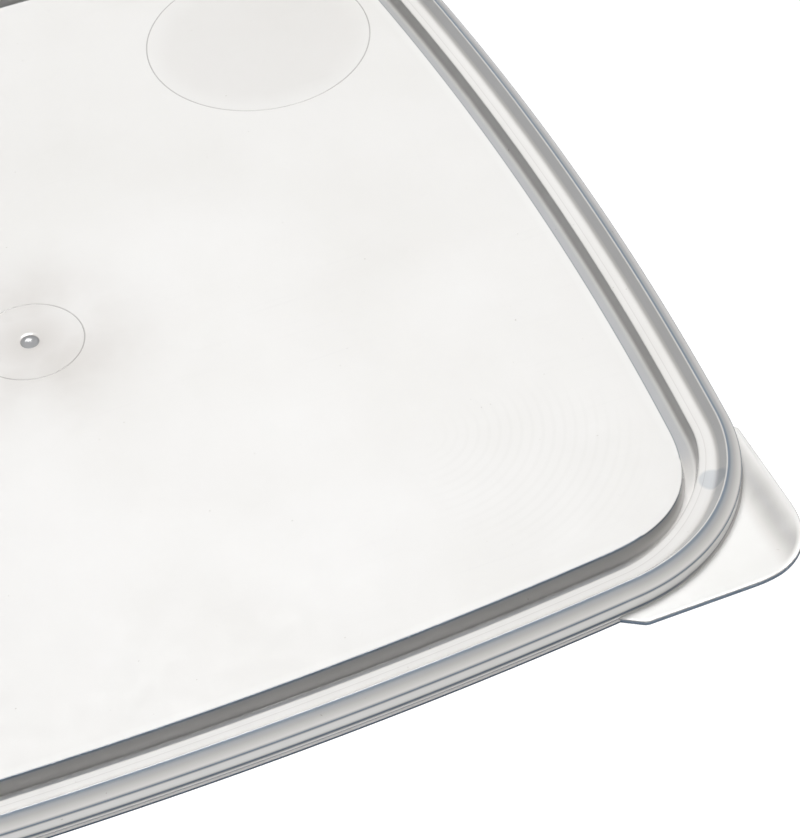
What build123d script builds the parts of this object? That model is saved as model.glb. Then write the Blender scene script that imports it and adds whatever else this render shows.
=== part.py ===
from build123d import *
import math
import os

# Seal cover that snaps over the rim of a square deli food pan, moulded in one shot
# of natural polypropylene.  The cover is split here into its working zones, each a closed
# solid that meets its neighbours face to face, and the peel tab on one corner,
# which flexes about a crease.
#
# Frame: millimetres, +Z up, origin at the centre of the cover on the plane it
# stands on.  The sides run along X and Y; the peel tab is on the +X -Y corner.

# ---------------------------------------------------------------- driving sizes
PANEL_HALF = 82.5          # centre of the cover to the panel's edge at mid side
SIDE_RADIUS = 670.0        # every side bows outward on this radius
CORNER_RADIUS = 20.6       # corner radius of the panel's edge
WALL = 0.9                 # moulded wall of the rim
PANEL_THICKNESS = 1.0
PANEL_TOP = 3.8            # height of the panel's upper face

GROOVE_WIDTH = 3.25        # mouth of the seal groove
GROOVE_DRAFT = 0.4         # how far each groove wall leans in over its depth
GROOVE_ROUND = 0.6         # fillet where the groove's walls meet its floor

FLANGE_TOP = 3.45          # flat band outside the groove
FLANGE_END = 5.8           # distance of the band's outer edge from the panel's edge
LIP_CREST = 7.05           # inner top edge of the raised lip
LIP_TOP = 5.25
LIP_BACK = 7.7             # the crest stays nearly level out to here
SKIRT_OUTER = 9.2          # outer face of the snap skirt
SHOULDER = 3.6             # height where the lip turns down into the skirt

BEAD_HEIGHT = 1.6          # stiffening bead along the skirt's lower edge
BEAD_PROUD = 0.2
SNAP_HEIGHT = 0.8          # middle of the bead that hooks under the pan's rim
SNAP_HALF_HEIGHT = 0.5
SNAP_PROUD = 0.45

GATE_DIMPLE_RADIUS = 1.45  # spherical dimple where the mould was filled
GATE_DIMPLE_DEPTH = 0.5
GATE_PAD_RADIUS = 8.5      # round mould insert around the gate
STAMP_PAD_RADIUS = 18.8    # plain round mould insert near the far corner
STAMP_PAD_CENTRE = (58.1, 53.7)
PAD_STEP = 0.05            # witness step left by each mould insert

TAB_LONG_REACH = 91.8      # the tab squares off the corner at these distances,
TAB_SHORT_REACH = 89.8     # a little deeper on one side than on the other
TAB_CORNER_RADIUS = 11.5
TAB_LONG_ROOT = 58.3       # where the tab leaves the skirt, along each side
TAB_SHORT_ROOT = 62.4
TAB_LONG_STEP = (2.2, 3.2) # slanted step at each root: out from the skirt, along the side
TAB_SHORT_STEP = (0.6, 0.8)
TAB_UNDERSIDE = 0.3
TAB_THICKNESS = 1.0
TAB_EDGE_WIDTH = 2.0       # upturned edge along the short side and around the corner
TAB_EDGE_RISE = 0.7
CREASE_OFFSET = 115.2      # crease of the tab, measured out along the diagonal
CREASE_GAP = 0.1
CREASE_RELIEF = 1.8        # the upturned edge stops this far apart across the crease

# ------------------------------------------------------- plan of the panel's edge
# Each side is an arc centred far behind the opposite side, and each corner is an
# arc tangent to the two sides beside it.
SIDE_CENTRE = PANEL_HALF - SIDE_RADIUS
CORNER_REACH = SIDE_RADIUS - CORNER_RADIUS
CORNER_CENTRE = (SIDE_CENTRE + math.sqrt(2 * CORNER_REACH ** 2 - SIDE_CENTRE ** 2)) / 2
SIDE_HALF_ANGLE = math.degrees(math.asin(CORNER_CENTRE / CORNER_REACH))
CORNER_ANGLE = 90 - 2 * SIDE_HALF_ANGLE


def cover_outline(offset):
    """Face bounded by the panel's edge, moved outward by offset."""
    arcs = []
    for turn in range(4):
        side = CenterArc(
            (SIDE_CENTRE, 0), SIDE_RADIUS + offset, -SIDE_HALF_ANGLE, 2 * SIDE_HALF_ANGLE
        )
        corner = CenterArc(
            (CORNER_CENTRE, CORNER_CENTRE), CORNER_RADIUS + offset, SIDE_HALF_ANGLE, CORNER_ANGLE
        )
        arcs += [Rot(0, 0, 90 * turn) * side, Rot(0, 0, 90 * turn) * corner]
    return make_face(Curve() + arcs)


def section(points, rounds=None):
    """Closed section from (outward, height) points; rounds gives fillets by point number."""
    face = make_face(Polyline(*points, close=True))
    for number, radius in (rounds or {}).items():
        corner = face.vertices().sort_by_distance((*points[number], 0))[0]
        face = fillet(corner, radius)
    return face


def cover_ring(profile):
    """Carry a rim section once around the cover, side arcs and corner arcs in turn."""
    upright = Plane.XZ

    def arc_piece(centre, radius, start, sweep):
        place = Location((centre[0], centre[1], 0)) * Rot(0, 0, start)
        spun = revolve(
            upright * (Pos(radius, 0, 0) * profile), axis=Axis.Z, revolution_arc=sweep
        )
        return place * spun

    side = arc_piece((SIDE_CENTRE, 0), SIDE_RADIUS, -SIDE_HALF_ANGLE, 2 * SIDE_HALF_ANGLE)
    corner = arc_piece(
        (CORNER_CENTRE, CORNER_CENTRE), CORNER_RADIUS, SIDE_HALF_ANGLE, CORNER_ANGLE
    )
    pieces = [Rot(0, 0, 90 * turn) * piece for turn in range(4) for piece in (side, corner)]
    return pieces[0].fuse(*pieces[1:])


# --------------------------------------------------------------------- the panel
def stamp_centre():
    return Location((*STAMP_PAD_CENTRE, 0))


def panel_disc(radius, top):
    """Round plate that fills a pad's place in the panel, up to the height top."""
    base = PANEL_TOP - PANEL_THICKNESS
    return Pos(0, 0, base) * extrude(Circle(radius), top - base)


def centre_panel():
    plate = extrude(cover_outline(-WALL), PANEL_THICKNESS)
    plate = Pos(0, 0, PANEL_TOP - PANEL_THICKNESS) * plate
    plate -= panel_disc(GATE_PAD_RADIUS, PANEL_TOP)
    return plate - stamp_centre() * panel_disc(STAMP_PAD_RADIUS, PANEL_TOP)


def gate_pad():
    pad = panel_disc(GATE_PAD_RADIUS, PANEL_TOP - PAD_STEP)
    ball_radius = (GATE_DIMPLE_RADIUS ** 2 + GATE_DIMPLE_DEPTH ** 2) / (2 * GATE_DIMPLE_DEPTH)
    ball_height = PANEL_TOP - PAD_STEP - GATE_DIMPLE_DEPTH + ball_radius
    return pad - Pos(0, 0, ball_height) * Sphere(ball_radius)


def stamp_pad():
    return stamp_centre() * panel_disc(STAMP_PAD_RADIUS, PANEL_TOP - PAD_STEP)


# ----------------------------------------------------------------------- the rim
def seal_groove():
    """Channel whose outside plugs the pan's mouth."""
    floor = WALL
    points = [
        (-WALL, PANEL_TOP),
        (0, PANEL_TOP),
        (GROOVE_DRAFT, floor),
        (GROOVE_WIDTH - GROOVE_DRAFT, floor),
        (GROOVE_WIDTH, FLANGE_TOP),
        (GROOVE_WIDTH + WALL, FLANGE_TOP),
        (GROOVE_WIDTH + WALL, FLANGE_TOP - WALL),
        (GROOVE_WIDTH + WALL - GROOVE_DRAFT, 0),
        (GROOVE_DRAFT - WALL, 0),
        (-WALL, PANEL_TOP - PANEL_THICKNESS),
    ]
    rounds = {2: GROOVE_ROUND, 3: GROOVE_ROUND, 7: GROOVE_ROUND, 8: GROOVE_ROUND}
    return cover_ring(section(points, rounds))


def rim_flange():
    """Flat band that bears on top of the pan's rim."""
    points = [
        (GROOVE_WIDTH + WALL, FLANGE_TOP - WALL),
        (GROOVE_WIDTH + WALL, FLANGE_TOP),
        (FLANGE_END, FLANGE_TOP),
        (FLANGE_END, FLANGE_TOP - WALL),
    ]
    return cover_ring(section(points))


def raised_lip():
    """Stacking lip: a slanted inner wall, a narrow crest and a rounded fall to the skirt."""
    points = [
        (FLANGE_END, FLANGE_TOP - WALL),
        (FLANGE_END, FLANGE_TOP),
        (LIP_CREST, LIP_TOP),
        (LIP_BACK, LIP_TOP - 0.1),
        (SKIRT_OUTER, SHOULDER),
        (SKIRT_OUTER - WALL, SHOULDER),
        (LIP_CREST + 0.3, LIP_TOP - WALL),
        (FLANGE_END + 0.4, FLANGE_TOP - WALL),
    ]
    return cover_ring(section(points, {2: 0.25, 3: 0.8}))


def snap_skirt():
    """Upright outer wall of the rim."""
    points = [
        (SKIRT_OUTER - WALL, BEAD_HEIGHT),
        (SKIRT_OUTER, BEAD_HEIGHT),
        (SKIRT_OUTER, SHOULDER),
        (SKIRT_OUTER - WALL, SHOULDER),
    ]
    return cover_ring(section(points))


def bottom_bead():
    """Thicker lower edge of the skirt."""
    edge = SKIRT_OUTER + BEAD_PROUD
    points = [
        (SKIRT_OUTER - WALL, 0),
        (edge, 0),
        (edge, BEAD_HEIGHT - BEAD_PROUD),
        (SKIRT_OUTER, BEAD_HEIGHT),
        (SKIRT_OUTER - WALL, BEAD_HEIGHT),
    ]
    return cover_ring(section(points, {1: 0.25}))


def snap_bead():
    """Low ridge inside the skirt that hooks under the pan's rim."""
    wall = SKIRT_OUTER - WALL
    points = [
        (wall, SNAP_HEIGHT - SNAP_HALF_HEIGHT),
        (wall, SNAP_HEIGHT + SNAP_HALF_HEIGHT),
        (wall - SNAP_PROUD, SNAP_HEIGHT + 0.1),
        (wall - SNAP_PROUD, SNAP_HEIGHT - 0.1),
    ]
    return cover_ring(section(points))


# ------------------------------------------------------------------- the peel tab
def tab_plan():
    """Plan of the tab on the +X +Y corner: the corner squared off, clear of the rim."""
    long_out, long_along = TAB_LONG_STEP
    short_out, short_along = TAB_SHORT_STEP
    outline = [
        (CORNER_CENTRE, CORNER_CENTRE),
        (PANEL_HALF, TAB_LONG_ROOT),
        (TAB_LONG_REACH - long_out, TAB_LONG_ROOT),
        (TAB_LONG_REACH, TAB_LONG_ROOT + long_along),
        (TAB_LONG_REACH, TAB_SHORT_REACH),
        (TAB_SHORT_ROOT + short_along, TAB_SHORT_REACH),
        (TAB_SHORT_ROOT, TAB_SHORT_REACH - short_out),
        (TAB_SHORT_ROOT, PANEL_HALF),
    ]
    plate = make_face(Polyline(*outline, close=True))
    tip = plate.vertices().sort_by_distance((TAB_LONG_REACH, TAB_SHORT_REACH, 0))[0]
    return fillet(tip, TAB_CORNER_RADIUS)


def diagonal_block(start, depth):
    """Block across the tab's corner, from start out along its diagonal, depth deep."""
    return Rot(0, 0, -45) * Pos(start + depth / 2, 0, 0) * Box(depth, TAB_LONG_REACH, TAB_LONG_REACH)


def beyond_crease(start):
    """Block that holds everything further out along the tab's diagonal than start."""
    return diagonal_block(start, TAB_LONG_REACH)


def tab_blank(rim):
    """Whole tab with its upturned edge, cut clear of the rim and turned to its corner."""
    turn = Rot(0, 0, -90)
    plan = tab_plan()
    flat = Pos(0, -TAB_EDGE_WIDTH, 0) * plan
    plate = turn * extrude(plan, TAB_THICKNESS)
    edge = turn * extrude(plan - flat, TAB_THICKNESS + TAB_EDGE_RISE)
    edge -= diagonal_block(CREASE_OFFSET - CREASE_RELIEF / 2, CREASE_RELIEF)
    core = extrude(cover_outline(SKIRT_OUTER), LIP_TOP)
    return Pos(0, 0, TAB_UNDERSIDE) * (plate + edge) - core - rim


bead = bottom_bead()
tab = tab_blank(bead)

nodes = {
    "centre_panel": centre_panel(),
    "gate_pad": gate_pad(),
    "stamp_pad": stamp_pad(),
    "seal_groove": seal_groove(),
    "rim_flange": rim_flange(),
    "raised_lip": raised_lip(),
    "snap_skirt": snap_skirt(),
    "bottom_bead": bead,
    "snap_bead": snap_bead(),
    "tab_root": tab - beyond_crease(CREASE_OFFSET),
    "corner_tab": tab & beyond_crease(CREASE_OFFSET + CREASE_GAP),
}

os.makedirs("parts", exist_ok=True)
for name, solid in nodes.items():
    export_step(solid, f"parts/{name}.step")
    print(f"{name}: {len(solid.solids())} solid, {solid.volume:.1f} mm3")
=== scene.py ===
import math

import bmesh
import bpy
from mathutils import Matrix, Vector


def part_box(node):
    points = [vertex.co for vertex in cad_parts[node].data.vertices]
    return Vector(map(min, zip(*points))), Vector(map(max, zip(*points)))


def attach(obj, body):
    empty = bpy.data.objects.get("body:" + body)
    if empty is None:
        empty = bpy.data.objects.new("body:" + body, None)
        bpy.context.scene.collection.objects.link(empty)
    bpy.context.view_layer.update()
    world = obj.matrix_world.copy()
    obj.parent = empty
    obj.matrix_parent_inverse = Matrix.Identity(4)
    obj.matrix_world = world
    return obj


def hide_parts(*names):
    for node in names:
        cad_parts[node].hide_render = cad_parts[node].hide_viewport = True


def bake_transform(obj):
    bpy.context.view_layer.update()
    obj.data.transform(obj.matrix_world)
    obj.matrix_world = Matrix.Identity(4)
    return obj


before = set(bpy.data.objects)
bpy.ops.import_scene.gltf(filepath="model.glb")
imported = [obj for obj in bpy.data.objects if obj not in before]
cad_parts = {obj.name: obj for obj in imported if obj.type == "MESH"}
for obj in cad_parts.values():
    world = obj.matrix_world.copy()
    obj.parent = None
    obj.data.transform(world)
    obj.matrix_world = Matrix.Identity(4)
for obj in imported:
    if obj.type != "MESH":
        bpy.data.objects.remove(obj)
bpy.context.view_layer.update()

# The cover of a square deli food pan: one thin translucent moulding and its peel tab.
# Everything is in metres, in the CAD frame: +Z up, origin at the centre of the cover
# on the plane it stands on, the peel tab on the +X -Y corner.
MM = 0.001

# ------------------------------------------------------------ sizes from the frame
PANEL_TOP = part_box("centre_panel")[1].z
PANEL_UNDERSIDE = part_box("centre_panel")[0].z
LIP_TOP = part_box("raised_lip")[1].z
BEAD_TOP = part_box("bottom_bead")[1].z
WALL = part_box("rim_flange")[1].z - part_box("rim_flange")[0].z
PANEL_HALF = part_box("centre_panel")[1].x + WALL
SKIRT_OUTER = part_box("snap_skirt")[1].x - PANEL_HALF
GATE_RING_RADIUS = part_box("gate_pad")[1].x
STAMP_LOW, STAMP_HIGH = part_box("stamp_pad")
STAMP_CENTRE = (STAMP_LOW + STAMP_HIGH) / 2
STAMP_RADIUS = (STAMP_HIGH.x - STAMP_LOW.x) / 2
TAB_LONG_REACH = -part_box("corner_tab")[0].y
TAB_SHORT_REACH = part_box("corner_tab")[1].x
TAB_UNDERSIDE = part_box("corner_tab")[0].z
TAB_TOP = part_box("corner_tab")[1].z

# Plan of the panel's edge: four sides on large arcs, four corners on small ones.
SIDE_RADIUS = 670 * MM
CORNER_RADIUS = 20.6 * MM
SIDE_CENTRE = PANEL_HALF - SIDE_RADIUS
CORNER_REACH = SIDE_RADIUS - CORNER_RADIUS
CORNER_CENTRE = (SIDE_CENTRE + math.sqrt(2 * CORNER_REACH ** 2 - SIDE_CENTRE ** 2)) / 2
SIDE_HALF_ANGLE = math.asin(CORNER_CENTRE / CORNER_REACH)
SIDE_STEPS = 48
CORNER_STEPS = 40


# ----------------------------------------------------------------- small helpers
def new_object(name, mesh):
    """Turn a bmesh into a linked object."""
    bmesh.ops.recalc_face_normals(mesh, faces=mesh.faces)
    data = bpy.data.meshes.new(name)
    mesh.to_mesh(data)
    mesh.free()
    obj = bpy.data.objects.new(name, data)
    bpy.context.scene.collection.objects.link(obj)
    return obj


ROUND_SHARE = 0.4        # a round takes at most this share of the edges beside it
SUPPORT_REACH = 1.15     # support points sit this far out from the corner, in round radii


def rounded(points, steps=4):
    """Round each inner corner of an open line of (outward, height, radius, painted shade) points.

    The input is in millimetres.  A support point just outside each round keeps the flat
    faces beside it flat.  Returns (outward, height, painted shade) points in metres."""
    spots = [Vector((w * MM, z * MM, shade)) for w, z, radius, shade in points]
    radii = [radius * MM for w, z, radius, shade in points]
    line = [spots[0]]
    for before, corner, after, radius in zip(spots, spots[1:], spots[2:], radii[1:]):
        back, ahead = before - corner, after - corner
        if radius == 0:
            line.append(corner)
            continue
        cut_back = min(radius, ROUND_SHARE * back.xy.length) / back.xy.length
        cut_ahead = min(radius, ROUND_SHARE * ahead.xy.length) / ahead.xy.length
        start, end = corner + back * cut_back, corner + ahead * cut_ahead
        line.append(corner + back * cut_back * SUPPORT_REACH)
        for step in range(steps + 1):
            t = step / steps
            line.append(start * (1 - t) ** 2 + corner * 2 * t * (1 - t) + end * t * t)
        line.append(corner + ahead * cut_ahead * SUPPORT_REACH)
    line.append(spots[-1])
    return line


def rim_stations():
    """Points on the panel's edge with their outward directions, once around the cover.

    The third value is 0 along the sides and rises to 1 in the middle of each corner."""
    stations = []
    runs = (
        (Vector((SIDE_CENTRE, 0, 0)), SIDE_RADIUS, -SIDE_HALF_ANGLE, SIDE_HALF_ANGLE, SIDE_STEPS),
        (
            Vector((CORNER_CENTRE, CORNER_CENTRE, 0)), CORNER_RADIUS,
            SIDE_HALF_ANGLE, math.pi / 2 - SIDE_HALF_ANGLE, CORNER_STEPS,
        ),
    )
    for turn in range(4):
        spin = Matrix.Rotation(turn * math.pi / 2, 3, "Z")
        for centre, radius, start, end, steps in runs:
            for step in range(steps):
                angle = start + (end - start) * step / steps
                outward = Vector((math.cos(angle), math.sin(angle), 0))
                bend = math.sin(math.pi * step / steps) ** 2 if radius == CORNER_RADIUS else 0.0
                stations.append((spin @ (centre + radius * outward), spin @ outward, bend))
    return stations


# ------------------------------------------------------------------- rim section
# (outward from the panel's edge, height, corner radius, painted shade), in millimetres.
# The upper line runs from the panel over the groove, flange and lip and down the
# skirt, and the lower line comes back underneath.  Painted shade is how much darker
# the wall is painted there: painted shade on the groove's walls and floor, the lip and
# the skirt, thin painted dark lines at the edges, and a painted highlight where it
# drops along the panel's edge.
UPPER_SECTION = [
    (-1.6, 3.8, 0, 0.09), (-1.0, 3.8, 0, 0.06), (-0.25, 3.8, 0, 0.03), (0, 3.8, 0.1, 0.85),
    (0.03, 3.55, 0, 0.72), (0.07, 3.3, 0, 0.48), (0.2, 2.4, 0, 0.36), (0.33, 1.4, 0, 0.14),
    (0.4, 0.9, 0.4, 0.42), (0.9, 0.9, 0, 0.48), (2.1, 0.9, 0, 0.46), (2.85, 0.9, 0.5, 0.36),
    (3.1, 2.5, 0, 0.3), (3.25, 3.45, 0.15, 0.34), (3.55, 3.45, 0, 0.14), (4.2, 3.45, 0, 0.12),
    (4.3, 3.45, 0, 0.3), (4.4, 3.45, 0, 0.14), (5.0, 3.45, 0, 0.12), (5.6, 3.45, 0.3, 0.2),
    (6.1, 4.05, 0, 0.44), (6.95, 5.1, 0, 0.44), (7.05, 5.22, 0.1, 0.1), (7.25, 5.21, 0.06, 0.72),
    (7.45, 5.08, 0, 0.66), (7.7, 4.88, 0, 0.5), (8.1, 4.55, 0, 0.42), (8.5, 4.2, 0, 0.3),
    (8.95, 3.83, 0, 0.18), (9.12, 3.68, 0, 0.5), (9.2, 3.6, 0.05, 0.8), (9.2, 3.4, 0, 0.55),
    (9.2, 3.15, 0, 0.05), (9.2, 2.5, 0, 0.0), (9.2, 2.05, 0, 0.05), (9.2, 1.8, 0, 0.4),
    (9.22, 1.65, 0.05, 0.8), (9.38, 1.5, 0.05, 0.5), (9.38, 1.3, 0, 0.08), (9.38, 1.1, 0, 0.2),
    (9.3, 1.0, 0.05, 0.7), (9.38, 0.9, 0.05, 0.3), (9.38, 0.7, 0, 0.1), (9.38, 0.48, 0, 0.25),
    (9.38, 0.36, 0, 0.85), (9.38, 0.1, 0.05, 1.0), (9.3, 0.0, 0.05, 1.0),
]
LOWER_SECTION = [
    (8.3, 0.0, 0.15, 0.3), (8.3, 0.3, 0.2, 0.0), (7.85, 0.8, 0.3, 0.0), (8.3, 1.3, 0.2, 0.0),
    (8.3, 3.4, 0.5, 0.0), (7.3, 4.3, 0.3, 0.0), (6.2, 2.55, 0.3, 0.0), (4.15, 2.55, 0.2, 0.0),
    (3.75, 0.0, 0.6, 0.0), (-0.5, 0.0, 0.5, 0.0), (-0.9, 2.8, 0.2, 0.0), (-1.6, 2.8, 0, 0.0),
]

GATE_RADIUS = 1.45 * MM
GATE_DEPTH = 0.5 * MM
GATE_ROUND = 0.12 * MM
GATE_LOOPS = 8             # loops down the dimple's side
# painted shade in the gate's dimple
GATE_PAINTED_SHADE = 0.5
GATE_COLLAR = 3            # the loops are round from this many dimple radii inward
PANEL_SHARES = (0.80, 0.6, 0.4, 0.2)   # loops across the panel, as shares of its edge
# The groove narrows around the corners: (distance from the panel's edge, extra outward
# shift in the middle of a corner), in millimetres.
CORNER_SHIFTS = ((-1.6, 0.8), (0.4, 0.8), (2.85, -0.7), (4.4, -0.7), (5.6, -0.2), (7.05, 0.0))


def corner_shift(outward):
    """Outward shift in the middle of a corner for a section point this far out."""
    reach = min(max(outward / MM, CORNER_SHIFTS[0][0]), CORNER_SHIFTS[-1][0])
    for (near, low), (far, high) in zip(CORNER_SHIFTS, CORNER_SHIFTS[1:]):
        if reach <= far:
            return (low + (high - low) * (reach - near) / (far - near)) * MM


def gate_dimple_rings():
    """(radius, height) rings from the panel into the dimple left where the mould was filled."""
    flat_radii = (GATE_RADIUS * GATE_COLLAR, GATE_RADIUS * 1.6, GATE_RADIUS + GATE_ROUND)
    rings = [(radius, 0.0) for radius in flat_radii]
    for step in range(1, GATE_LOOPS + 1):
        angle = math.pi / 2 * step / (GATE_LOOPS + 1)
        rings.append((GATE_RADIUS * math.cos(angle), -GATE_DEPTH * math.sin(angle)))
    return rings


def add_loop(mesh, spots):
    """New vertices at these spots, in order."""
    return [mesh.verts.new(spot) for spot in spots]


def bridge(mesh, first, second):
    """Quads between two closed loops with the same number of points."""
    for here in range(len(first)):
        after = (here + 1) % len(first)
        mesh.faces.new((first[here], second[here], second[after], first[after]))


def panel_loops(mesh, shade, edge_loop, height, dimpled):
    """Fill a panel face with loops that turn from its bowed square into the round gate.

    A dimpled face gets the gate's dimple in its middle, and the other one stays flat."""
    directions = [vertex.co.xy.normalized() for vertex in edge_loop]
    inner_shade = edge_loop[0][shade]
    previous = edge_loop
    for share in PANEL_SHARES:
        loop = add_loop(mesh, [(v.co.x * share, v.co.y * share, height) for v in edge_loop])
        for vertex in loop:
            vertex[shade] = inner_shade
        bridge(mesh, previous, loop)
        previous = loop
    flat_rings = [(GATE_RADIUS * GATE_COLLAR, 0.0), (GATE_RADIUS, 0.0)]
    for radius, drop in gate_dimple_rings() if dimpled else flat_rings:
        loop = add_loop(mesh, [(d.x * radius, d.y * radius, height + drop) for d in directions])
        for vertex in loop:
            vertex[shade] = GATE_PAINTED_SHADE if drop < 0 else inner_shade
        bridge(mesh, previous, loop)
        previous = loop
    mesh.faces.new(previous)


WITNESS_TUBE = 0.15 * MM   # radius of the round tool that cuts the hairline
WITNESS_DEPTH = 0.05 * MM
# painted shade in the rings' hairlines
RING_PAINTED_SHADE = 0.38
RIM_CLEARANCE = 4 * MM     # the rings stay at least this far inside the panel's edge


def cut_witness_ring(cover, centre, radius):
    """Cut the hairline that a round mould insert leaves in the panel's upper face."""
    height = PANEL_TOP + WITNESS_TUBE - WITNESS_DEPTH
    bpy.ops.mesh.primitive_torus_add(
        major_radius=radius, minor_radius=WITNESS_TUBE, major_segments=128, minor_segments=16,
        location=(centre.x, centre.y, height),
    )
    cutter = bpy.context.object
    cut = cover.modifiers.new("witness_ring", "BOOLEAN")
    cut.operation = "DIFFERENCE"
    cut.solver = "EXACT"
    cut.object = cutter
    shaped = cover.evaluated_get(bpy.context.evaluated_depsgraph_get())
    cover.data = bpy.data.meshes.new_from_object(shaped)
    cover.data.name = cover.name
    cover.modifiers.clear()
    bpy.data.objects.remove(cutter)


def shade_witness_rings(cover):
    """Paint shade on the points the rings added: painted shade dark in the hairline, the panel's own
    painted shade beside it.
    """
    panel_shade = UPPER_SECTION[0][3]
    shades = cover.data.attributes["painted_shade"].data
    for vertex, shade in zip(cover.data.vertices, shades):
        spot = vertex.co
        inside = max(abs(spot.x), abs(spot.y)) < PANEL_HALF - RIM_CLEARANCE
        depth = PANEL_TOP - spot.z
        clear_of_gate = spot.xy.length > 2 * GATE_RADIUS
        if inside and clear_of_gate and abs(depth) < 2 * WITNESS_DEPTH:
            shade.value = RING_PAINTED_SHADE if depth > 0.1 * WITNESS_DEPTH else panel_shade


CRISP_ANGLE = math.radians(32)


def smooth_rounds(obj):
    """Smooth shading that keeps edges sharper than the crisp angle crisp."""
    obj.data.polygons.foreach_set("use_smooth", [True] * len(obj.data.polygons))
    obj.data.set_sharp_from_angle(angle=CRISP_ANGLE)


# painted shade on the skirt's foot, made lighter in the middle of the tab's corner
TAB_CORNER_LIGHT = 0.65    # the skirt's foot is this share lighter in the middle of the tab's corner
FOOT_TOP = BEAD_TOP + 0.1 * MM


def build_cover():
    """One closed shell: the rim section carried around the panel, and both panel faces."""
    mesh = bmesh.new()
    shade = mesh.verts.layers.float.new("painted_shade")
    profile = rounded(UPPER_SECTION + LOWER_SECTION)
    stations = rim_stations()
    loops = []
    for point in profile:
        loop = add_loop(
            mesh,
            [
                spot + outward * (point.x + corner_shift(point.x) * bend) + Vector((0, 0, point.y))
                for spot, outward, bend in stations
            ],
        )
        for vertex, (spot, _, bend) in zip(loop, stations):
            at_tab = spot.x > 0 > spot.y and point.y < FOOT_TOP
            vertex[shade] = point.z * (1 - TAB_CORNER_LIGHT * bend) if at_tab else point.z
        loops.append(loop)
    for inner, outer in zip(loops, loops[1:]):
        bridge(mesh, inner, outer)
    panel_loops(mesh, shade, loops[0], PANEL_TOP, True)
    panel_loops(mesh, shade, loops[-1], PANEL_UNDERSIDE, False)
    cover = new_object("moulded_cover", mesh)
    for centre, radius in ((Vector((0, 0, 0)), GATE_RING_RADIUS), (STAMP_CENTRE, STAMP_RADIUS)):
        cut_witness_ring(cover, centre, radius)
    shade_witness_rings(cover)
    smooth_rounds(cover)
    return cover


# ----------------------------------------------------------------------- peel tab
TAB_CORNER_CUT = 11.5 * 1.15 * MM   # a parabola cut this long looks like an 11.5 mm arc
TAB_LONG_ROUND = 0.5 * MM
TAB_SHORT_ROUND = 0.3 * MM
TAB_LONG_ROOT = 58.3 * MM
TAB_SHORT_ROOT = 62.4 * MM
TAB_LONG_STEP = Vector((2.2, 3.2)) * MM
TAB_SHORT_STEP = Vector((0.6, 0.8)) * MM
TAB_STATIONS = 110
TAB_STEPS = 14             # steps across the tab, from the skirt to its outer edge
TAB_ROUND_STEPS = 14
TAB_WALL = 0.9 * MM
TAB_OVERLAP = 0.45 * MM    # how far the tab's root reaches into the skirt
TAB_TURN_UP = 7.0 * MM     # width of the strip that curls up along the short side
TAB_CURL_POWER = 1.6
TAB_CURL_PAINTED_SHADE = 0.42
TAB_SHADE_POWER = 1.3      # above 1, the darkest line moves out toward the edge
# Rounded outer edge of the tab: (inset, drop, painted shade), in millimetres from its top corner;
# the painted shade darkens the edge's face.
TAB_EDGE_SECTION = (
    (0.3, 0.0, 0.0), (0.1, 0.03, 0.2), (0.02, 0.12, 0.5), (0.0, 0.25, 0.7),
    (0.0, 0.65, 0.8), (0.02, 0.8, 0.8), (0.2, 0.9, 0.8),
)


def tab_outline():
    """Outer edge of the tab on the +X +Y corner, from its long side's root to the short's."""
    points = [
        (TAB_LONG_REACH - TAB_LONG_STEP.x, TAB_LONG_ROOT, 0),
        (TAB_LONG_REACH, TAB_LONG_ROOT + TAB_LONG_STEP.y, TAB_LONG_ROUND),
        (TAB_LONG_REACH, TAB_SHORT_REACH, TAB_CORNER_CUT),
        (TAB_SHORT_ROOT + TAB_SHORT_STEP.y, TAB_SHORT_REACH, TAB_SHORT_ROUND),
        (TAB_SHORT_ROOT, TAB_SHORT_REACH - TAB_SHORT_STEP.x, 0),
    ]
    in_millimetres = [(x / MM, y / MM, radius / MM, 0) for x, y, radius in points]
    line = rounded(in_millimetres, steps=TAB_ROUND_STEPS)
    return [Vector((p.x, p.y)) for p in line]


def resample(line, count):
    """Evenly spaced points along an open line."""
    lengths = [0.0]
    for start, end in zip(line, line[1:]):
        lengths.append(lengths[-1] + (end - start).length)
    spots = []
    piece = 0
    for number in range(count):
        want = lengths[-1] * number / (count - 1)
        while piece < len(line) - 2 and lengths[piece + 1] < want:
            piece += 1
        share = (want - lengths[piece]) / (lengths[piece + 1] - lengths[piece])
        spots.append(line[piece].lerp(line[piece + 1], share))
    return spots


def turn_up(plan):
    """How far the short side's edge has turned up at a spot, from 0 to 1."""
    return max(0.0, 1 - (TAB_SHORT_REACH - plan.y) / TAB_TURN_UP)


def tab_height(plan):
    """Upper surface of the tab: flat, curling up along the short side."""
    flat = TAB_UNDERSIDE + TAB_WALL
    return flat + (TAB_TOP - flat) * turn_up(plan) ** TAB_CURL_POWER


def tab_painted_shade(plan):
    """Painted shade: darker on the slope of the curl, light along its edge."""
    return TAB_CURL_PAINTED_SHADE * math.sin(math.pi * turn_up(plan) ** TAB_SHADE_POWER)


def tab_ring(spot, centre):
    """Closed cross-section through the tab at one spot of its outline: (place, painted shade)."""
    reach = (spot - centre).normalized()
    root = centre + reach * (CORNER_RADIUS + SKIRT_OUTER - TAB_OVERLAP)
    last = spot - reach * TAB_EDGE_SECTION[0][0] * MM
    upper = []
    for step in range(TAB_STEPS):
        share = step / TAB_STEPS
        plan = root.lerp(last, share)
        upper.append((plan, tab_height(plan), tab_painted_shade(plan)))
    edge = []
    for inset, drop, shade in TAB_EDGE_SECTION:
        edge.append((spot - reach * inset * MM, tab_height(spot) - drop * MM, shade))
    lower = [(plan, height - TAB_WALL, 0.0) for plan, height, shade in reversed(upper)]
    return upper + edge + lower


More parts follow.
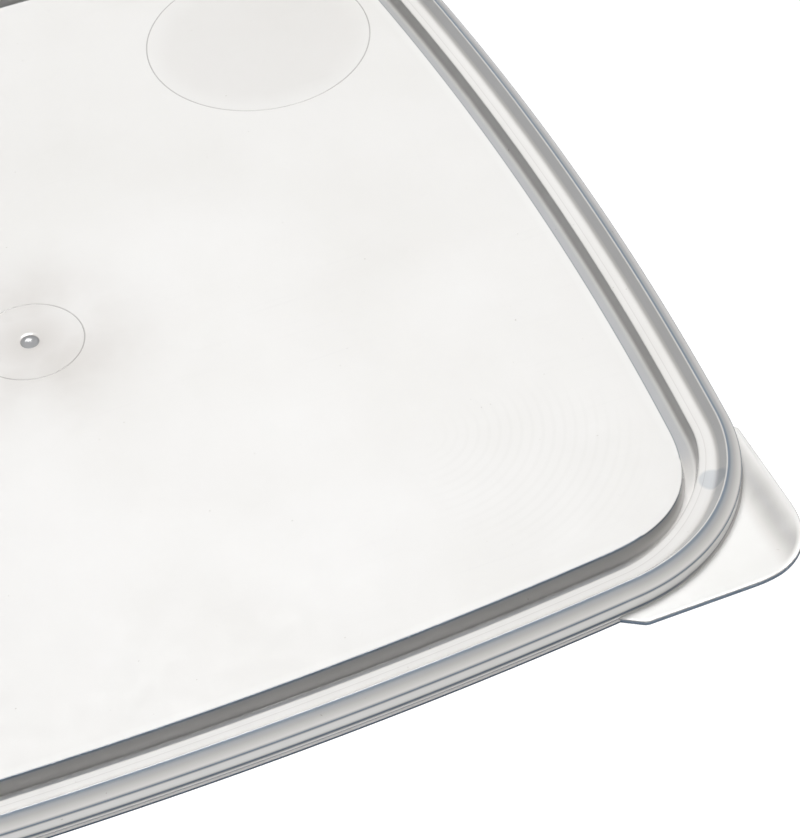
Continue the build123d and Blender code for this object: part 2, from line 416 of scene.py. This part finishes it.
def build_tab():
    """Thin flap that fills out the corner, with thickness and rounded edges."""
    mesh = bmesh.new()
    shades = mesh.verts.layers.float.new("painted_shade")
    to_tab_corner = Matrix.Rotation(-math.pi / 2, 3, "Z")
    centre = Vector((CORNER_CENTRE, CORNER_CENTRE))
    rings = []
    for spot in resample(tab_outline(), TAB_STATIONS):
        ring = []
        for plan, height, shade in tab_ring(spot, centre):
            vertex = mesh.verts.new(to_tab_corner @ Vector((plan.x, plan.y, height)))
            vertex[shades] = shade
            ring.append(vertex)
        rings.append(ring)
    for first, second in zip(rings, rings[1:]):
        bridge(mesh, first, second)
    mesh.faces.new(rings[0])
    mesh.faces.new(rings[-1])
    tab = new_object("peel_tab", mesh)
    smooth_rounds(tab)
    return tab


# ---------------------------------------------------------------------- material
def add_node(tree, kind, **inputs):
    """Add a shader node and set its named inputs."""
    node = tree.nodes.new(kind)
    for name, value in inputs.items():
        node.inputs[name.replace("_", " ")].default_value = value
    return node


def math_node(tree, operation, first, second=0.0):
    """Math node on one or two values, each a socket or a number."""
    node = tree.nodes.new("ShaderNodeMath")
    node.operation = operation
    for socket, value in zip(node.inputs, (first, second)):
        if isinstance(value, bpy.types.NodeSocket):
            tree.links.new(value, socket)
        else:
            socket.default_value = value
    return node.outputs[0]


def distance_from(tree, position, centre):
    """Distance in plan from a point, as a socket."""
    flat = tree.nodes.new("ShaderNodeVectorMath")
    flat.operation = "MULTIPLY"
    flat.inputs[1].default_value = (1, 1, 0)
    tree.links.new(position, flat.inputs[0])
    distance = tree.nodes.new("ShaderNodeVectorMath")
    distance.operation = "DISTANCE"
    distance.inputs[1].default_value = (centre.x, centre.y, 0)
    tree.links.new(flat.outputs["Vector"], distance.inputs[0])
    return distance.outputs["Value"]


def falloff(tree, distance, reach):
    """1 inside the near end of the reach, 0 beyond its far end, smooth between."""
    node = tree.nodes.new("ShaderNodeMapRange")
    node.interpolation_type = "SMOOTHSTEP"
    tree.links.new(distance, node.inputs["Value"])
    node.inputs["From Min"].default_value, node.inputs["From Max"].default_value = reach
    node.inputs["To Min"].default_value = 1.0
    node.inputs["To Max"].default_value = 0.0
    return node.outputs["Result"]


def noise_value(tree, position, scale, detail, low, high):
    """Noise stretched from low and high to 0 and 1."""
    noise = add_node(tree, "ShaderNodeTexNoise", Scale=scale, Detail=detail)
    tree.links.new(position, noise.inputs["Vector"])
    span = tree.nodes.new("ShaderNodeMapRange")
    tree.links.new(noise.outputs["Fac"], span.inputs["Value"])
    span.inputs["From Min"].default_value = low
    span.inputs["From Max"].default_value = high
    return span.outputs["Result"]


# Colours painted by the painted shade: the plastic's own colour at 0, darker and bluer painted shade
# up to 1.
PAINTED_SHADE_TINTS = (
    (0.0, (0.985, 0.982, 0.974, 1)),
    (0.2, (0.83, 0.815, 0.80, 1)),
    (0.4, (0.60, 0.59, 0.58, 1)),
    (0.5, (0.462, 0.48, 0.50, 1)),
    (0.75, (0.19, 0.25, 0.33, 1)),
    (1.0, (0.03, 0.06, 0.11, 1)),
)
ABSORBED_TINT = (0.80, 0.82, 0.84, 1)
ABSORPTION_DENSITY = 60.0
TRANSMISSION = 0.35
POLYPROPYLENE_IOR = 1.49

# Noise in the plastic: scale per metre, detail, and the span stretched from 0 to 1.
CLOUDS = {"scale": 28.0, "detail": 4.0, "low": 0.42, "high": 0.75}
SPECKS = {"scale": 1300.0, "detail": 1.0, "low": 0.79, "high": 0.83}
HALO_PATCHES = {"scale": 70.0, "detail": 3.0, "low": 0.25, "high": 0.75}
POLISH = {"scale": 400.0, "detail": 3.0, "low": 0.3, "high": 0.7}
GRAIN = {"scale": 3000.0, "detail": 2.0, "low": 0.2, "high": 0.8}
SCUFF_LINES = {"scale": 1.0, "detail": 2.0, "low": 0.62, "high": 0.75}
SCUFF_PATCHES = {"scale": 35.0, "detail": 2.0, "low": 0.45, "high": 0.7}

CLOUD_TINT = (0.955, 0.952, 0.943, 1)
SPECK_TINT = (0.7, 0.68, 0.66, 1)

# Painted pool of light: the panel is painted lighter around one spot and darker toward its rim.
LIT_POOL_CENTRE = Vector((20, -34, 0)) * MM
LIT_POOL_REACH = (18 * MM, 85 * MM)
OUTSIDE_POOL_TINT = (0.95, 0.949, 0.943, 1)

# Dark patch around the gate, patchy outside and even in its core.
HALO_TINT = (0.77, 0.745, 0.725, 1)
HALO_REACH = (0, 26 * MM)
HALO_CORE_REACH = (0, 12 * MM)
HALO_CORE_STRENGTH = 0.8

STAMP_TINT = (0.945, 0.94, 0.937, 1)
STAMP_REACH = (14 * MM, 20 * MM)

RIPPLE_TINT = (0.9, 0.9, 0.895, 1)
RIPPLE_CENTRE = 45 * MM
RIPPLE_PITCH = 2 * math.pi / (1.6 * MM)
RIPPLE_STRENGTH = 0.2
RIPPLE_REACH = (10 * MM, 20 * MM)

# Painted reflection: a small blue-grey patch near the tab's corner.
PAINTED_REFLECTION_TINT = (0.78, 0.81, 0.85, 1)
PAINTED_REFLECTION_CENTRE = Vector((81.0, -72.6, 0)) * MM
PAINTED_REFLECTION_REACH = (1.7 * MM, 2.3 * MM)

SCUFF_ANGLE = math.radians(35)
SCUFF_SCALE = (45, 1500, 45)       # noise squeezed into thin lines
SCUFF_TINT = (0.975, 0.975, 0.978, 1)
SCUFF_DULLNESS = 0.012
CREST_DULLNESS = 0.03
CREST_REACH = (0.05 * MM, 0.5 * MM)
BASE_ROUGHNESS = 0.15
POLISH_ROUGHNESS = 0.08
GRAIN_DEPTH = 0.004 * MM
GRAIN_STRENGTH = 0.12


def painted_shade_colour(tree):
    """Plastic's own colour, darkened and turned bluer by the painted shade attribute."""
    shade = tree.nodes.new("ShaderNodeAttribute")
    shade.attribute_name = "painted_shade"
    ramp = tree.nodes.new("ShaderNodeValToRGB")
    stops = ramp.color_ramp.elements
    stops.remove(stops[-1])
    stops[0].color = PAINTED_SHADE_TINTS[0][1]
    for place, colour in PAINTED_SHADE_TINTS[1:]:
        stops.new(place).color = colour
    tree.links.new(shade.outputs["Fac"], ramp.inputs["Fac"])
    return ramp.outputs["Color"]


def multiply_tint(tree, factor, colour, tint):
    """Multiply a colour by a tint, by as much as the factor socket says."""
    node = tree.nodes.new("ShaderNodeMix")
    node.data_type = "RGBA"
    node.blend_type = "MULTIPLY"
    tree.links.new(factor, node.inputs["Factor"])
    tree.links.new(colour, node.inputs["A"])
    node.inputs["B"].default_value = tint
    return node.outputs["Result"]


def near_spot(tree, position, centre, reach):
    """1 near a spot on the plan, fading to 0 over the reach."""
    return falloff(tree, distance_from(tree, position, centre), reach)


def flow_ripples(tree, position):
    """Faint ripples left by the melt where it turned into the tab's corner."""
    diagonal = Vector((1, -1, 0))
    distance = distance_from(tree, position, diagonal * RIPPLE_CENTRE)
    wave = math_node(tree, "SINE", math_node(tree, "MULTIPLY", distance, RIPPLE_PITCH))
    wave = math_node(tree, "MULTIPLY", math_node(tree, "MAXIMUM", wave), RIPPLE_STRENGTH)
    in_corner = near_spot(tree, position, diagonal * CORNER_CENTRE, RIPPLE_REACH)
    return math_node(tree, "MULTIPLY", wave, in_corner)


def gate_halo(tree, position):
    """Dark patch around the gate, where the melt froze last."""
    gate = Vector((0, 0, 0))
    patchy = noise_value(tree, position, **HALO_PATCHES)
    outer = math_node(tree, "MULTIPLY", near_spot(tree, position, gate, HALO_REACH), patchy)
    core = near_spot(tree, position, gate, HALO_CORE_REACH)
    core = math_node(tree, "MULTIPLY", core, HALO_CORE_STRENGTH)
    return math_node(tree, "MAXIMUM", outer, core)


def scuffs(tree, position):
    """Fine rubbed lines left by stacking and washing, in patches, as a 0 to 1 socket."""
    along = add_node(tree, "ShaderNodeMapping", Rotation=(0, 0, SCUFF_ANGLE), Scale=SCUFF_SCALE)
    tree.links.new(position, along.inputs["Vector"])
    lines = noise_value(tree, along.outputs["Vector"], **SCUFF_LINES)
    patches = noise_value(tree, position, **SCUFF_PATCHES)
    return math_node(tree, "MULTIPLY", lines, patches)


def crest_wear(tree, position):
    """1 on the lip's crest, where stacked pans rub it dull, and 0 below it."""
    split = tree.nodes.new("ShaderNodeSeparateXYZ")
    tree.links.new(position, split.inputs["Vector"])
    below = math_node(tree, "SUBTRACT", LIP_TOP, split.outputs["Z"])
    return falloff(tree, below, CREST_REACH)


def moulded_grain(tree, position):
    """Surface normal with the mould's faint grain in it."""
    bump = add_node(tree, "ShaderNodeBump", Strength=GRAIN_STRENGTH, Distance=GRAIN_DEPTH)
    tree.links.new(noise_value(tree, position, **GRAIN), bump.inputs["Height"])
    return bump.outputs["Normal"]


def plastic_colour(tree, position, scratched):
    """Painted shade colour with the marks that the moulding and use have left in it, a painted pool
    of light on the panel and a painted reflection near the tab's corner.
    """
    in_lit_pool = near_spot(tree, position, LIT_POOL_CENTRE, LIT_POOL_REACH)
    marks = (
        (noise_value(tree, position, **CLOUDS), CLOUD_TINT),
        (math_node(tree, "SUBTRACT", 1.0, in_lit_pool), OUTSIDE_POOL_TINT),
        (flow_ripples(tree, position), RIPPLE_TINT),
        (near_spot(tree, position, PAINTED_REFLECTION_CENTRE, PAINTED_REFLECTION_REACH), PAINTED_REFLECTION_TINT),
        (noise_value(tree, position, **SPECKS), SPECK_TINT),
        (near_spot(tree, position, STAMP_CENTRE, STAMP_REACH), STAMP_TINT),
        (gate_halo(tree, position), HALO_TINT),
        (scratched, SCUFF_TINT),
    )
    colour = painted_shade_colour(tree)
    for factor, tint in marks:
        colour = multiply_tint(tree, factor, colour, tint)
    return colour


def plastic_roughness(tree, position, scratched):
    """Satin gloss that varies with the mould's polish and is duller where rubbed."""
    polish = noise_value(tree, position, **POLISH)
    roughness = math_node(tree, "MULTIPLY", polish, POLISH_ROUGHNESS)
    roughness = math_node(tree, "ADD", roughness, BASE_ROUGHNESS)
    marks = ((scratched, SCUFF_DULLNESS), (crest_wear(tree, position), CREST_DULLNESS))
    for mark, dullness in marks:
        roughness = math_node(tree, "ADD", roughness, math_node(tree, "MULTIPLY", mark, dullness))
    return roughness


def polypropylene():
    """Natural polypropylene: milky, clear enough to let light through, faintly clouded."""
    material = bpy.data.materials.new("natural_polypropylene")
    material.use_nodes = True
    tree = material.node_tree
    shader = tree.nodes["Principled BSDF"]
    position = tree.nodes.new("ShaderNodeTexCoord").outputs["Object"]
    scratched = scuffs(tree, position)
    for name, socket in (
        ("Base Color", plastic_colour(tree, position, scratched)),
        ("Roughness", plastic_roughness(tree, position, scratched)),
        ("Normal", moulded_grain(tree, position)),
    ):
        tree.links.new(socket, shader.inputs[name])
    shader.inputs["Transmission Weight"].default_value = TRANSMISSION
    shader.inputs["IOR"].default_value = POLYPROPYLENE_IOR
    absorb = tree.nodes.new("ShaderNodeVolumeAbsorption")
    absorb.inputs["Color"].default_value = ABSORBED_TINT
    absorb.inputs["Density"].default_value = ABSORPTION_DENSITY
    tree.links.new(absorb.outputs["Volume"], tree.nodes["Material Output"].inputs["Volume"])
    return material


# ------------------------------------------------------------------ camera, light
VIEW_AZIMUTH = math.radians(-18.68)
VIEW_ELEVATION = math.radians(44.33)
VIEW_ROLL = math.radians(-5.34)
VIEW_DISTANCE = 546.6 * MM
VIEW_RIGHT = 56.97 * MM
VIEW_DOWN = 11.92 * MM
LENS = 152.6


def add_camera():
    """Camera at the photograph's angle, shifted sideways and down to its framing."""
    data = bpy.data.cameras.new("camera")
    data.lens = LENS
    camera = bpy.data.objects.new("camera", data)
    bpy.context.scene.collection.objects.link(camera)
    turn = (
        Matrix.Rotation(VIEW_AZIMUTH, 4, "Z")
        @ Matrix.Rotation(math.pi / 2 - VIEW_ELEVATION, 4, "X")
        @ Matrix.Rotation(VIEW_ROLL, 4, "Z")
    )
    aim = Vector((0, 0, PANEL_TOP))
    camera.matrix_world = (
        Matrix.Translation(aim) @ turn
        @ Matrix.Translation((VIEW_RIGHT, -VIEW_DOWN, VIEW_DISTANCE))
    )
    bpy.context.scene.camera = camera


FLOOR_GAP = 0.1 * MM      # keeps the floor out of the plane of the cover's foot
FLOOR_SIZE = 6.0
FLOOR_GLOW = 1.1
FLOOR_BOUNCE = 0.05
FLOOR_COLOUR = (0.9, 0.9, 0.9, 1)
FLOOR_REFLECTED = (0.12, 0.13, 0.15, 1)


def add_floor():
    """White ground, as on a shadowless photo table.

    It glows white where it is looked at, and is darker where the plastic reflects it."""
    bpy.ops.mesh.primitive_plane_add(size=FLOOR_SIZE, location=(0, 0, -FLOOR_GAP))
    floor = bpy.context.object
    floor.name = "floor"
    material = bpy.data.materials.new("white_ground")
    material.use_nodes = True
    tree = material.node_tree
    shader = tree.nodes["Principled BSDF"]
    shader.inputs["Base Color"].default_value = FLOOR_COLOUR
    shader.inputs["Roughness"].default_value = 1.0
    shader.inputs["Specular IOR Level"].default_value = 0.0
    shader.inputs["Emission Color"].default_value = (1, 1, 1, 1)
    shader.inputs["Emission Strength"].default_value = FLOOR_BOUNCE
    dark = add_node(tree, "ShaderNodeBsdfDiffuse", Color=FLOOR_REFLECTED)
    glow = tree.nodes.new("ShaderNodeEmission")
    glow.inputs["Strength"].default_value = FLOOR_GLOW
    path = tree.nodes.new("ShaderNodeLightPath")

    def switch(ray, otherwise, chosen):
        """Shader that is the chosen one for this kind of ray."""
        mix = tree.nodes.new("ShaderNodeMixShader")
        tree.links.new(path.outputs[ray], mix.inputs["Fac"])
        tree.links.new(otherwise, mix.inputs[1])
        tree.links.new(chosen, mix.inputs[2])
        return mix.outputs["Shader"]

    reflected = switch("Is Glossy Ray", shader.outputs["BSDF"], dark.outputs["BSDF"])
    seen = switch("Is Camera Ray", reflected, glow.outputs["Emission"])
    tree.links.new(seen, tree.nodes["Material Output"].inputs["Surface"])
    floor.data.materials.append(material)


# (place, size, power) of each soft box, in metres and watts; both aim at the cover's centre.
SOFT_BOXES = {
    "overhead": ((0.25, 0.48, 1.75), (0.9, 0.9), 51),
    "front_fill": ((-0.5, -1.6, 0.6), (2.6, 1.0), 16),
}
WORLD_STRENGTH = 0.025


def add_light(name, place, size, power):
    """Rectangular soft box aimed at the centre of the cover."""
    data = bpy.data.lights.new(name, "AREA")
    data.shape = "RECTANGLE"
    data.size, data.size_y = size
    data.energy = power
    light = bpy.data.objects.new(name, data)
    bpy.context.scene.collection.objects.link(light)
    light.location = place
    light.rotation_euler = (-Vector(place)).to_track_quat("-Z", "Y").to_euler()


def set_world():
    """Faint white light from all round."""
    world = bpy.data.worlds.new("studio")
    bpy.context.scene.world = world
    world.use_nodes = True
    background = world.node_tree.nodes["Background"]
    background.inputs["Color"].default_value = (1, 1, 1, 1)
    background.inputs["Strength"].default_value = WORLD_STRENGTH


plastic = polypropylene()
cover = build_cover()
tab = build_tab()
for piece in (cover, tab):
    piece.data.materials.append(plastic)
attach(cover, "cover")
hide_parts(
    "centre_panel", "gate_pad", "stamp_pad", "seal_groove", "rim_flange",
    "raised_lip", "snap_skirt", "bottom_bead", "snap_bead",
)
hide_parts("tab_root", "corner_tab")
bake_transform(tab)

add_floor()
add_camera()
for name, (place, size, power) in SOFT_BOXES.items():
    add_light(name, place, size, power)
set_world()
bpy.context.scene.view_settings.view_transform = "Standard"
